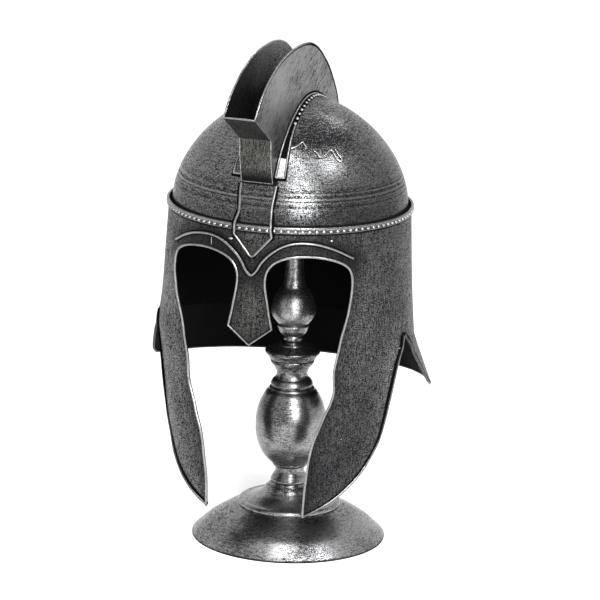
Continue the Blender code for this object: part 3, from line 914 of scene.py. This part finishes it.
def make_dome():
    """The bowl, with the skirt that goes down inside the band."""
    turns = [n * math.pi / 2 / DOME_RINGS for n in range(DOME_RINGS, -1, -1)]

    def bowl(inset):
        radius, rise = DOME_RADIUS - inset, DOME_RISE - inset
        return [
            (radius * max(math.cos(turn), 0) ** (2 / DOME_POWER),
             DOME_BASE + rise * math.sin(turn) ** (2 / DOME_POWER)) for turn in turns]

    skirt = [
        (SKIRT_RADIUS - 0.3, DOME_BASE - 0.7), (SKIRT_RADIUS, DOME_BASE - 1.5),
        (SKIRT_RADIUS, SKIRT_BOTTOM), (SKIRT_RADIUS - SHEET, SKIRT_BOTTOM),
        (SKIRT_RADIUS - SHEET, DOME_BASE - 1.5)]
    piece = spun("dome", [*bowl(0), *skirt, *reversed(bowl(SHEET))], ROUND_STEPS)
    paint_with(piece, dome_silver, inner_black)
    middle = Vector((0, 0, DOME_BASE * MM))
    for face in piece.data.polygons:
        inside = face.normal.dot(face.center - middle) < 0 or face.center.z < SKIRT_BOTTOM * MM
        face.material_index = int(inside)
    finish(piece, HELMET, "antique_silver", "skull_dome")


def row_of_beads(name, seats, size, paint):
    """Pressed beads, each set in at its own seat."""
    bead = drop_of_metal(size, 2)
    beads = []
    for seat in seats:
        copy = bead.copy()
        copy.data = bead.data.copy()
        bpy.context.collection.objects.link(copy)
        copy.matrix_world = seat
        beads.append(copy)
    bpy.data.objects.remove(bead)
    piece = join(name, beads)
    bpy.ops.object.transform_apply(location=True, rotation=True, scale=True)
    return paint_with(piece, paint)


def make_band():
    """The pressed band over the seam, and its beads."""
    strip = spun("band", BAND_SECTION, ROUND_STEPS, ring=True)
    seats = []
    stray_round, stray_up = BEAD_STRAY
    for n in range(BEADS):
        angle = 360 * n / BEADS + stray_round * noise.noise((n * 1.7, 0, 3))
        height = BEAD_HEIGHT + stray_up * noise.noise((n * 1.3, 5, 0))
        turn = Matrix.Rotation(math.radians(angle), 4, "Z")
        seats.append(Matrix.Translation(around(angle, BEAD_SEAT, height)) @ turn)
    beads = row_of_beads("band_beads", seats, BEAD_SIZE, bead_silver)
    finish(paint_with(strip, band_silver), HELMET, "silvered_wire", "beaded_band")
    finish(beads, HELMET, "silvered_wire", sharp=60)


# Wall, neck guard and their wires --------

def laid_flat(path):
    """A path of (degrees, height) as millimetres on the flat sheet."""
    return [Vector((angle * ARC, height)) for angle, height in path]


def line_on(radius_at, path, lift):
    """A path of (degrees, height) laid on a sheet, so many millimetres off its face."""
    return [around(angle, radius_at(angle, height) + lift, height) for angle, height in path]


def inset(path, by):
    """A path moved to its left on the flat sheet, in millimetres."""
    flat = laid_flat(path)
    moved = []
    for n, point in enumerate(flat):
        along = (flat[min(n + 1, len(flat) - 1)] - flat[max(n - 1, 0)]).normalized()
        point = point + Vector((-along.y, along.x)) * by
        moved.append((point.x / ARC, point.y))
    return moved


def make_wall():
    """The rolled wall with its nose and cheek guards, and the wires along its edges."""
    cheek = smooth_through(CHEEK_REAR, 8)
    face = [NOSE_TIP, *smooth_through(EYE_AND_CHEEK, 8)]
    crease = [(angle, read_table(CREASE, angle, 1)) for angle in range(83, 180, 3)]
    half = [*face[1:], *cheek[1:], CREASE[0], *crease, (180, CREASE[-1][1]), (180, WALL_TOP)]
    outline = [NOSE_TIP, *half, *mirrored(half)]
    columns = steps_between(-180 * ARC, 180 * ARC, COLUMN * ARC)
    piece = cut_sheet(
        "wall", laid_flat(outline), columns, steps_between(CHEEK_REAR[0][1], WALL_TOP, ROW))
    measure_from(piece, "from_rear", [cheek, mirrored(cheek)])
    measure_from(piece, "from_face", [face, mirrored(face)])
    brow = smooth_through(mirrored(BROW)[:-1] + list(BROW), 8)
    measure_from(piece, "from_brow", [brow])
    roll(piece, wall_radius)
    paint_with(piece, wall_silver, inner_black)
    thicken(piece, SHEET)
    finish(piece, HELMET, "antique_silver", "helmet_wall")

    edge = inset(mirrored(face)[:-1] + face, FACE_WIRE_INSET)
    wire = rod("face_wire", line_on(wall_radius, edge, ON_EDGE), wire_silver, FACE_WIRE_RADIUS)
    finish(wire, HELMET, "silvered_wire", "face_edge_wire")

    def share_up(point):
        """Grime narrows to 0.4 of its width at the cheek guard's tip."""
        return 0.4 + 0.6 * min(max(point.z - CHEEK_TIP, 0) / (CHEEK_MIDDLE - CHEEK_TIP), 1)

    for (side, _), path, width in zip(SIDES, (mirrored(cheek), cheek), CHEEK_GRIME):
        name = "cheek_wire_" + side
        low, high = line_on(wall_radius, path, 0), line_on(wall_radius, path, 1)
        wire = rod(name + "_fine", low, cheek_wire_silver, CHEEK_WIRE_RADIUS)
        grime_and_shadow = seam(low, high, before=width, after=0.6, share_at=share_up)
        finish(join(name + "_fine", [wire, grime_and_shadow]), HELMET, "silvered_wire", name)
    # Black beside the brow wire: black enamel and painted shadow under it.
    wire = rod("brow_wire_fine", line_on(wall_radius, brow, ON_SHEET), wire_silver)
    grime_and_shadow = seam(line_on(wall_radius, brow, 0), line_on(wall_radius, brow, 1))
    finish(join("brow_wire_fine", [wire, grime_and_shadow]), HELMET, "silvered_wire", "brow_wire")


def make_neck_guard():
    """The flared apron from cheek to cheek round the back, wired along its free edge."""
    path = smooth_through((*GUARD_FRONT, GUARD_EDGE[0]), 6) + smooth_through(GUARD_EDGE, 6)[1:]
    whole = path + [(360 - angle, height) for angle, height in reversed(path[:-1])]
    half = [(angle, read_table(CREASE, angle, 1)) for angle in range(84, 181, 3)]
    top = half + [(360 - angle, height) for angle, height in reversed(half[:-1])]
    outline = whole + top[::-1]
    columns = steps_between(81 * ARC, 279 * ARC, COLUMN * ARC)
    piece = cut_sheet(
        "neck_guard_fine", laid_flat(outline), columns,
        steps_between(GUARD_EDGE[-1][1], CREASE[0][1], ROW))
    measure_from(piece, "from_edge", [whole])
    roll(piece, guard_radius)
    paint_with(piece, guard_silver, inner_black)
    thicken(piece, SHEET)
    finish(piece, HELMET, "antique_silver", "neck_guard")
    wire = rod("guard_wire", line_on(guard_radius, whole, -GUARD_WIRE_DEPTH), guard_wire_silver)
    finish(wire, HELMET, "silvered_wire", "neck_guard_wire")


def make_solder_spots():
    """Blobs and ticks of solder left where wires were fixed, and runs of it over the dome with
    painted shadow under them.
    """
    spots = []
    for angle, height, size in SOLDER:
        place, above = (line_on(wall_radius, [(angle, height)], lift)[0] for lift in (0, 1))
        out = (above - place).to_track_quat("Z", "Y").to_matrix().to_4x4()
        spot = drop_of_metal(size, 3)
        for vert in spot.data.vertices:
            vert.co *= 1 + 0.3 * noise.noise(vert.co * 900 + place * 500)
        spot.data.transform(Matrix.Translation(place) @ out)
        spots.append(paint_with(spot, bead_silver))
    for path in SOLDER_RUNS:
        for lift, radius, paint in (
                (RUN_RISE, RUN_RADIUS, bead_silver),
                (-RUN_SHADOW_SINK, RUN_SHADOW_RADIUS, black_enamel_and_shadow)):
            line = [on_dome(x, y, lift) for x, y in smooth_through(path, 4)]
            spots.append(rod("run", line, paint, radius))
    finish(join("solder_spots", spots), HELMET, "silvered_wire", sharp=60)


def make_v_wire():
    """The wire from the crest's foot over the band to a V on the brow, and the black beside it,
    black enamel and painted shadow.
    """
    def knots(lift):
        made = line_on(wall_radius, [V_TIP, V_KNEE], lift)
        made += line_on(lambda *_: BAND_FACE, V_OVER_BAND, lift)
        return made + line_on(lambda _, height: dome_radius(height), V_ON_DOME, lift)

    def leg(lift):
        tip, *rest = knots(lift)
        steps = 12
        slope = [tip.lerp(rest[0], n / steps) for n in range(steps)]
        for place, rise in zip(slope, (1.1, 0.35)):
            place.z += rise * MM
        return slope + [Vector(place) for place in smooth_through(rest, 6)]

    def both(lift):
        right = leg(lift)
        return [Vector((-p.x, p.y, p.z)) for p in reversed(right[1:])] + right

    wire = rod("v_wire", both(ON_SHEET), wire_silver)
    low, high = both(0), both(1)
    middle = len(low) // 2
    # Black beside each leg, wider on its right: black enamel and painted shadow.
    grime_and_shadow = [
        seam(low[:middle + 1], high[:middle + 1], before=1.0, after=2.9),
        seam(low[middle:], high[middle:], before=1.0, after=2.6)]
    finish(join("v_wire", [wire, *grime_and_shadow]), HELMET, "silvered_wire", "crest_v_wire")


# Crest --------

def make_crest():
    """Two upright half-moon plates, the wire along their top edges and the folded front."""
    edge = smooth_through((CREST_LIP, *CREST_TOP), 10)
    inner = CREST_HALF_WIDTH - CREST_SHEET
    middle = CREST_HALF_WIDTH - CREST_SHEET / 2
    feet = [on_dome(inner, y, 0) / MM for y in over_dome(CREST_HEEL_Y, CREST_FOOT_Y, 40)]
    outline = [*edge, *[(foot.y, foot.z) for foot in feet], CREST_FOLD]
    for side, sign in SIDES:
        piece = cut_sheet(
            "crest_plate_" + side + "_fine", outline, steps_between(-133, 86, CREST_SCORE),
            steps_between(298, 410, CREST_SCORE))
        measure_from(piece, "from_edge", [edge], 1)
        measure_from(piece, "from_foot", [outline[len(edge):-1]], 1)
        for vert in piece.data.vertices:
            y, z = vert.co.x, vert.co.y
            wave = CREST_WAVE * MM * noise.noise((y * CREST_WAVES, z * CREST_WAVES, 7 * sign))
            free = min(1, max(0, (z - CREST_FREE_FROM) * 40))
            vert.co = (sign * middle * MM + wave * free, y, z)
        paint_with(piece, crest_silver, inner_plate)
        face_out(piece, lambda face, sign=sign: Vector((sign, 0)))
        thicken(piece, CREST_SHEET)
        finish(piece, CREST, "antique_silver", "crest_plate_" + side)
    right = [Vector((middle, y, z)) * MM for y, z in edge]
    left = [Vector((-p.x, p.y, p.z)) for p in right]
    lip = steps_between(-middle, middle, 3)
    across = [Vector((x, *CREST_LIP)) * MM for x in lip]
    wire = rod(
        "crest_edge_wire_fine", left[::-1] + across + right, crest_wire_silver, CREST_WIRE_RADIUS)
    finish(wire, CREST, "silvered_wire", "crest_edge_wire")
    make_crest_front(inner + 0.3, Vector((feet[-1].y, feet[-1].z)))


def make_crest_front(half, foot):
    """The front sheet from the lip round its fold down to the dome, soldered at its sides."""
    lip, fold = Vector(CREST_LIP), Vector(CREST_FOLD)
    before, after = fold.lerp(lip, 0.05), fold.lerp(foot, 0.06)
    line = [lip.lerp(before, n / 8) for n in range(8)]
    line += smooth_through([before, fold.lerp((before + after) / 2, 0.4), after], 4)[:-1]
    bow = Vector((-1, 0.1)) * FRONT_BOW
    line += [after.lerp(foot, n / 12) + bow * math.sin(math.pi * n / 12) for n in range(13)]
    piece = chain("crest_front_fine", [Vector((-half, *point)) * MM for point in line])
    steps = 8
    pull(steps, (2 * half * MM / steps, 0, 0))
    face_out(piece, lambda face: Vector((0, -1)))
    paint_with(piece, front_silver, inner_plate)
    thicken(piece, CREST_SHEET)
    ahead = Vector((0, -0.35, -0.1))
    edges = [[(Vector((side * (half + 0.4), *point)) + ahead) * MM for point in line]
             for side in (-1, 1)]
    low = Vector((0, -0.5, 0.3))
    edges.append([
        (Vector((half * n / 6, *line[-1])) + low) * MM for n in range(-6, 7)])
    wires = [
        rod("solder", edge, crest_wire_silver, CREST_SOLDER_RADIUS, wander=0.15) for edge in edges]
    finish(join("crest_front_fine", [piece, *wires]), CREST, "antique_silver", "crest_front")


def make_foot_strips():
    """Strips bent over the dome along the plates' feet: two ridges with beads between them."""
    inner = CREST_HALF_WIDTH - 0.2
    stations = over_dome(-STRIP_END_Y, STRIP_END_Y, 72)
    beaded = over_dome(-STRIP_BEADS_Y, STRIP_END_Y - 3, STRIP_BEADS)
    for side, sign in SIDES:
        def place(y, share, lift, sign=sign):
            x = inner + share * (read_table(FOOT_STRIP, abs(y), 1) - inner)
            if abs(y) > SQUARE_FROM_Y:
                level = math.copysign(math.sqrt(y * y + inner * inner - x * x), y)
                square = (abs(y) - SQUARE_FROM_Y) / (STRIP_END_Y - SQUARE_FROM_Y)
                y += (level - y) * square
            return on_dome(sign * x, y, lift)

        strip = strip_along(
            "strip", [[place(y, *at) for at in STRIP_SECTION] for y in stations], black_enamel_and_shadow)
        tab_rings = []
        for y in stations[1:]:
            if y < -STRIP_TAB_Y:
                rise = min(1, (0.4 - y - STRIP_TAB_Y) / TAB_SLOPE)
                tab_rings.append([place(y, share, lift * rise) for share, lift in TAB_SECTION])
        tab = strip_along("tab", tab_rings, strip_silver)
        lines = [
            [place(y, INNER_RIDGE, 1.1) for y in stations[1:]],
            [place(y, OUTER_RIDGE, 0.8) for y in stations[1:] if y < -STRIP_BEADS_Y],
            [place(stations[1], share, 0.9) for share in (INNER_RIDGE, 0.3, 0.5, 0.7, OUTER_RIDGE)]]
        ridges = [rod("ridge", line, ridge_silver, RIDGE_RADIUS, wander=0.1) for line in lines]
        seats = []
        for y in beaded:
            low, high = place(y, BEAD_ROW, 0.5), place(y, BEAD_ROW, 1.5)
            turn = (high - low).to_track_quat("Z", "X").to_matrix().to_4x4()
            seats.append(Matrix.Translation(low) @ turn)
        beads = row_of_beads("strip_beads", seats, STRIP_BEAD_SIZE, ridge_silver)
        piece = join("foot_strip_" + side, [strip, tab, *ridges, beads])
        finish(piece, CREST, "silvered_wire", "crest_foot_strip_" + side)


# Stand --------

def make_stand():
    """The turned pieces, each spun from its own profile."""
    for name, profile, steps, paint in (
            ("foot", FOOT, ROUND_STEPS, foot_silver), ("drum", DRUM, 72, drum_silver),
            ("ball", BALL, 96, turned_silver), ("cup", CUP, 72, cup_silver),
            ("spindle", SPINDLE, 64, spindle_silver)):
        line = flowing(profile, 6)
        closed = [(0, line[0][1]), *line, (0, line[-1][1])]
        piece = paint_with(spun(name + "_fine", closed, steps), paint)
        finish(piece, STAND, "turned_silver", "stand_" + name)


make_dome()
make_band()
make_wall()
make_neck_guard()
make_solder_spots()
make_v_wire()
make_crest()
make_foot_strips()
make_stand()
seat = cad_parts["stand_seat"]
for slot in seat.material_slots:
    slot.material = turned_silver


# Room, light and camera --------

def make_room():
    """A pale floor under an even white sky."""
    let_go()
    bpy.ops.mesh.primitive_plane_add(size=12)
    floor = bpy.context.object
    floor.name = "floor"
    paint = bpy.data.materials.new("pale_floor")
    paint.use_nodes = True
    shader = paint.node_tree.nodes["Principled BSDF"]
    shader.inputs["Base Color"].default_value = (0.98, 0.98, 0.98, 1)
    shader.inputs["Roughness"].default_value = 0.9
    shader.inputs["Specular IOR Level"].default_value = 0.1
    floor.data.materials.append(paint)
    world = bpy.data.worlds.new("room")
    bpy.context.scene.world = world
    world.use_nodes = True
    sky = world.node_tree.nodes["Background"]
    sky.inputs["Color"].default_value = (1, 1, 1, 1)
    sky.inputs["Strength"].default_value = 1.06


# Soft boxes: name, bearing from the front towards +X, elevation, (width, height), power
LIGHTS = (
    ("front", 4, 70, (0.22, 0.16), 4.6), ("upper", 31, 60, (0.14, 0.1), 2.8),
    ("lower", 29, 49, (0.14, 0.08), 1.2), ("strip", 29, 23, (0.36, 0.85), 26),
    ("right", 78, 52, (0.2, 0.14), 5), ("back", 153, 52, (0.05, 0.3), 1.6))
LIGHT_DISTANCE = 1.3
LIGHT_AIM = Vector((0, 0, 0.25))


def make_light(name, bearing, elevation, size, power):
    """A soft box aimed at the helmet."""
    let_go()
    bpy.ops.object.light_add(type="AREA")
    light = bpy.context.object
    light.name = name
    light.data.shape = "RECTANGLE"
    light.data.size, light.data.size_y = size
    light.data.energy = power
    turn, tilt = math.radians(bearing), math.radians(elevation)
    away = Vector((math.sin(turn) * math.cos(tilt), -math.cos(turn) * math.cos(tilt),
                   math.sin(tilt)))
    light.location = LIGHT_AIM + away * LIGHT_DISTANCE
    light.rotation_euler = away.to_track_quat("Z", "Y").to_euler()


CAMERA_BEARING = math.radians(16.9)
CAMERA_PLACE = (0.7849, -2.5834, 0.8982)
CAMERA_PITCH = 0.2540
CAMERA_YAW = -0.0018
CAMERA_ROLL = 0.0253
CAMERA_LENS = 207.65
CAMERA_SENSOR = 36


def make_camera():
    bpy.ops.object.camera_add()
    camera = bpy.context.object
    camera.matrix_world = (
        Matrix.Translation(CAMERA_PLACE) @ Matrix.Rotation(CAMERA_BEARING + CAMERA_YAW, 4, "Z")
        @ Matrix.Rotation(math.pi / 2 - CAMERA_PITCH, 4, "X")
        @ Matrix.Rotation(CAMERA_ROLL, 4, "Z"))
    camera.data.lens = CAMERA_LENS
    camera.data.sensor_width = CAMERA_SENSOR
    camera.data.clip_end = 50
    bpy.context.scene.camera = camera


make_room()
for light in LIGHTS:
    make_light(*light)
make_camera()
bpy.context.scene.view_settings.view_transform = "Standard"
